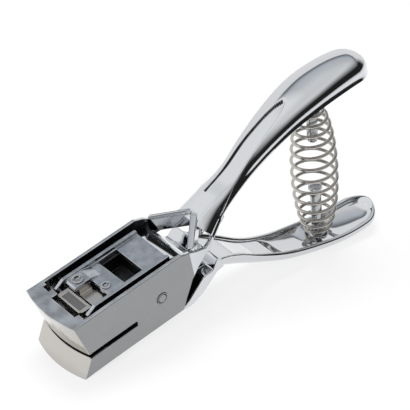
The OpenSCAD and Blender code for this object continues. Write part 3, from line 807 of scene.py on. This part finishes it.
class SLOTPUNCH_OT_cutter(bpy.types.Operator):
    """Punch blade, its head, its guide and the die"""

    bl_idname = "slotpunch.cutter"
    bl_label = "Punch and die"

    def execute(self, context):
        block = new_piece(
            "punch_block", cad_copy("punch_head"), [ground_steel()], "punch",
            ["punch_head"], CAST_SHARP,
        )
        round_edges(block, context.scene.slot_punch_sizes.sheet_edge_round)
        for node in ("punch_blade", "die_plate"):
            clothe(node, tool_steel())
        clothe("guide_block", ground_steel())
        return {"FINISHED"}


# How far the pivot pin stands out of each cheek, and its riveted face as (radius, height over it).
PIN_STAND = 0.25
PIN_FACE = [(0, -0.05), (1.55, -0.05), (1.75, -0.55), (1.95, -0.05), (2.25, -0.05), (2.25, -0.6)]
# The lever plate's rivets as (node, foot, top, head's radius), their heads' outline as (share of
# the radius, height over the top), and their shanks' radius.
RIVETS = (("channel_rivet", 17.8, 22.8, 1.9), ("tongue_rivet", 18.2, 23.8, 2.35))
RIVET_HEAD = [
    (0, -0.5), (0.42, -0.45), (0.56, 0.02), (0.72, 0.06), (0.94, -0.1), (1, -0.4), (1, -0.9),
]
SHANK, SHANK_DOWN = 1.15, 1.0


class SLOTPUNCH_OT_fasteners(bpy.types.Operator):
    """Pins, rivets, spacers and screws"""

    bl_idname = "slotpunch.fasteners"
    bl_label = "Fasteners"

    def execute(self, context):
        for node in ("drive_pin_near", "drive_pin_far"):
            clothe(node, pin_steel())
        low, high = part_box("pivot_pin")
        reach = (high.y - low.y) / 2 / MM + PIN_STAND
        near = [(r, reach + h) for r, h in PIN_FACE]
        far = [(r, -reach - h) for r, h in reversed(PIN_FACE)]
        lie_across = Matrix.Rotation(math.pi / 2, 4, "X") @ Matrix.Scale(MM, 4)
        turned(
            "pivot_pin_turned", near + far, Matrix.Translation(PIN_MIDDLE) @ lie_across,
            cheek_chrome(), "frame", "pivot_pin", PIN_SHARP,
        )
        for node, foot, top, radius in RIVETS:
            low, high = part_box(node)
            spot = HEAD.inverted() @ ((low + high) / 2)
            outline = [(radius * share, top + h) for share, h in RIVET_HEAD]
            shank = [(SHANK, top - SHANK_DOWN), (SHANK, foot), (0, foot)]
            turned(
                node + "_turned", outline + shank, HEAD @ Matrix.Translation((spot.x, spot.y, 0)),
                pin_steel(), "lower_handle", node, PIN_SHARP,
            )
        for node in ("head_rivet_near", "head_rivet_far"):
            clothe(node, pin_steel())
        for node in ("pivot_spacer_near", "pivot_spacer_far"):
            clothe(node, ground_steel())
        for node in ("guide_screw_near", "guide_screw_far", "die_screw_near", "die_screw_far"):
            clothe(node, screw_steel())
        return {"FINISHED"}


def grey(level, cool=0.0):
    """A grey, with its red taken down and its blue put up by how cool it is."""
    return (level * (1 - cool), level, level * (1 + 1.4 * cool))


# The studio's panels by height, 0 at the horizon and 1 overhead. Each is even below its first.
CANOPY = [
    (0.6, grey(0.95)), (0.64, grey(0.13, 0.06)), (0.69, grey(0.32, 0.06)),
    (0.76, grey(0.6, 0.05)), (0.9, grey(0.7, 0.02)), (1.0, grey(0.85)),
]
ROOM = [(0.5, grey(0.02)), (0.68, grey(0.33)), (0.86, grey(0.85)), (1.0, grey(0.8))]
WHITE = (1, 1, 1, 1)
# Where the flank turns into the canopy, by x, and the room into both of them, by y.
FLANK_EDGE, ROOM_EDGE = (-0.3, -0.12), (-0.15, 0.2)
# The Mix node's sockets for colours: the first, the second and the result.
MIX_FIRST, MIX_SECOND, MIX_RESULT = 6, 7, 2


def make_world():
    """A studio for the metal to mirror, which the camera sees as plain white.

    It has a white flank before the head, a canopy with a dark band behind and over the punch,
    and a dark room in front.
    """
    world = bpy.data.worlds.new("studio")
    bpy.context.scene.world = world
    world.use_nodes = True
    tree = world.node_tree
    tree.nodes.clear()
    spot = add(tree, "ShaderNodeTexCoord").outputs["Generated"]
    way = add(tree, "ShaderNodeSeparateXYZ", [("Vector", spot)])
    canopy = ramp(tree, way.outputs["Z"], CANOPY)
    room = ramp(tree, way.outputs["Z"], ROOM)
    side = remap(tree, way.outputs["X"], *FLANK_EDGE, 0.0, 1.0)
    back = add(tree, "ShaderNodeMix", [(0, side), (MIX_SECOND, canopy)], data_type="RGBA")
    back.inputs[MIX_FIRST].default_value = WHITE
    turn = remap(tree, way.outputs["Y"], *ROOM_EDGE, 0.0, 1.0)
    around = add(
        tree, "ShaderNodeMix",
        [(0, turn), (MIX_FIRST, room), (MIX_SECOND, back.outputs[MIX_RESULT])], data_type="RGBA",
    )
    lit = add(tree, "ShaderNodeBackground", [("Color", around.outputs[MIX_RESULT])])
    white = add(tree, "ShaderNodeBackground", Color=WHITE, Strength=1.0)
    seen = add(tree, "ShaderNodeLightPath").outputs["Is Camera Ray"]
    shown = add(
        tree, "ShaderNodeMixShader", [(0, seen), (1, lit.outputs[0]), (2, white.outputs[0])]
    )
    add(tree, "ShaderNodeOutputWorld", [("Surface", shown.outputs[0])])


# The floor's half width, its plain white and the share of that in what the camera sees, and how
# far from the middle its mirror image falls off, from full to a rest.
FLOOR_HALF, FLOOR_WHITE, WHITE_SHARE = 3.0, 0.97, 0.8
FALL_OFF, FALL_TO = (0.1, 0.34), (1.0, 0.12)


def paper_sweep():
    """White paper: seen as plain white for the most part, and lit for the rest, with a shadow."""
    material = bpy.data.materials.new("white paper sweep")
    material.use_nodes = True
    tree = material.node_tree
    shader = tree.nodes["Principled BSDF"]
    paper = bpy.context.scene.slot_punch_finishes.floor
    shader.inputs["Base Color"].default_value = (*paper, 1)
    shader.inputs["Roughness"].default_value = 0.9
    rays = add(tree, "ShaderNodeLightPath").outputs
    white = add(tree, "ShaderNodeEmission", Color=WHITE, Strength=FLOOR_WHITE)
    mirrored = maths(tree, "MAXIMUM", rays["Is Glossy Ray"], rays["Is Transmission Ray"])
    # Mirrored in the metal, the paper falls off to its own lit grey away from the punch.
    spot = add(tree, "ShaderNodeTexCoord").outputs["Object"]
    away = add(tree, "ShaderNodeVectorMath", [(0, spot)], operation="LENGTH").outputs["Value"]
    near = remap(tree, away, *FALL_OFF, *FALL_TO)
    mirrored = maths(tree, "MULTIPLY", mirrored, near)
    shown = maths(tree, "MAXIMUM", rays["Is Camera Ray"], mirrored)
    share = maths(tree, "MULTIPLY", shown, WHITE_SHARE)
    mix = add(
        tree, "ShaderNodeMixShader", [(0, share), (1, shader.outputs[0]), (2, white.outputs[0])]
    )
    tree.links.new(mix.outputs[0], tree.nodes["Material Output"].inputs["Surface"])
    return material


LAMP_AIM = Vector((0, 0, 0.03))


def lamp(name, place_at, size, energy):
    """A soft light that the metal doesn't mirror, aimed at the punch."""
    light = bpy.data.lights.new(name, "AREA")
    light.shape = "RECTANGLE"
    light.size, light.size_y = size
    light.energy = energy
    thing = bpy.data.objects.new(name, light)
    thing.location = place_at
    aim = LAMP_AIM - Vector(place_at)
    thing.rotation_euler = aim.to_track_quat("-Z", "Y").to_euler()
    thing.visible_glossy = False
    bpy.context.scene.collection.objects.link(thing)


# Where the camera stands, in metres, and which way its right, top and back sides face.
CAMERA_AT = (-0.384649, -0.456983, 0.447887)
CAMERA_AXES = (
    (0.778499, -0.627354, 0.019122), (0.343177, 0.450971, 0.823926),
    (-0.525517, -0.634864, 0.566374),
)
FOCAL, SENSOR = 175.75, 36


def make_camera():
    """A long lens, from over the near side of the head."""
    data = bpy.data.cameras.new("camera")
    data.sensor_width = SENSOR
    data.lens = FOCAL
    data.clip_start, data.clip_end = 0.01, 50
    camera = bpy.data.objects.new("camera", data)
    turn = Matrix(CAMERA_AXES).transposed()
    camera.matrix_world = Matrix.LocRotScale(Vector(CAMERA_AT), turn.to_quaternion(), None)
    bpy.context.scene.collection.objects.link(camera)
    bpy.context.scene.camera = camera


class SLOTPUNCH_OT_stage(bpy.types.Operator):
    """Floor, studio light and camera"""

    bl_idname = "slotpunch.stage"
    bl_label = "Stage"

    def execute(self, context):
        context.scene.view_settings.view_transform = "Standard"
        bm = bmesh.new()
        bmesh.ops.create_grid(bm, x_segments=1, y_segments=1, size=FLOOR_HALF)
        mesh = bpy.data.meshes.new("floor")
        bm.to_mesh(mesh)
        bm.free()
        floor = bpy.data.objects.new("floor", mesh)
        context.scene.collection.objects.link(floor)
        mesh.materials.append(paper_sweep())
        make_world()
        lamp("overhead softbox", (0.1, 0.25, 0.9), (0.5, 0.35), 6.0)
        lamp("side softbox", (-0.7, -0.5, 0.7), (0.35, 0.35), 4.0)
        make_camera()
        return {"FINISHED"}


class SLOTPUNCH_PT_panel(bpy.types.Panel):
    bl_label = "Slot punch"
    bl_idname = "SLOTPUNCH_PT_panel"
    bl_space_type = "VIEW_3D"
    bl_region_type = "UI"
    bl_category = "Slot punch"

    def draw(self, context):
        layout = self.layout
        for group in (context.scene.slot_punch_sizes, context.scene.slot_punch_finishes):
            for name in group.bl_rna.properties.keys():
                if name not in ("rna_type", "name"):
                    layout.prop(group, name)
        for operator in OPERATORS:
            layout.operator(operator.bl_idname)


OPERATORS = (
    SLOTPUNCH_OT_stage,
    SLOTPUNCH_OT_head,
    SLOTPUNCH_OT_upper_handle,
    SLOTPUNCH_OT_lower_handle,
    SLOTPUNCH_OT_spring,
    SLOTPUNCH_OT_spring_seats,
    SLOTPUNCH_OT_lever,
    SLOTPUNCH_OT_cutter,
    SLOTPUNCH_OT_fasteners,
)
CLASSES = (SlotPunchSizes, SlotPunchFinishes, *OPERATORS, SLOTPUNCH_PT_panel)


def register():
    for cls in CLASSES:
        bpy.utils.register_class(cls)
    bpy.types.Scene.slot_punch_sizes = PointerProperty(type=SlotPunchSizes)
    bpy.types.Scene.slot_punch_finishes = PointerProperty(type=SlotPunchFinishes)


def unregister():
    del bpy.types.Scene.slot_punch_finishes
    del bpy.types.Scene.slot_punch_sizes
    for cls in reversed(CLASSES):
        bpy.utils.unregister_class(cls)


def main():
    register()
    for operator in OPERATORS:
        group, name = operator.bl_idname.split(".")
        getattr(getattr(bpy.ops, group), name)()


if __name__ == "__main__":
    main()
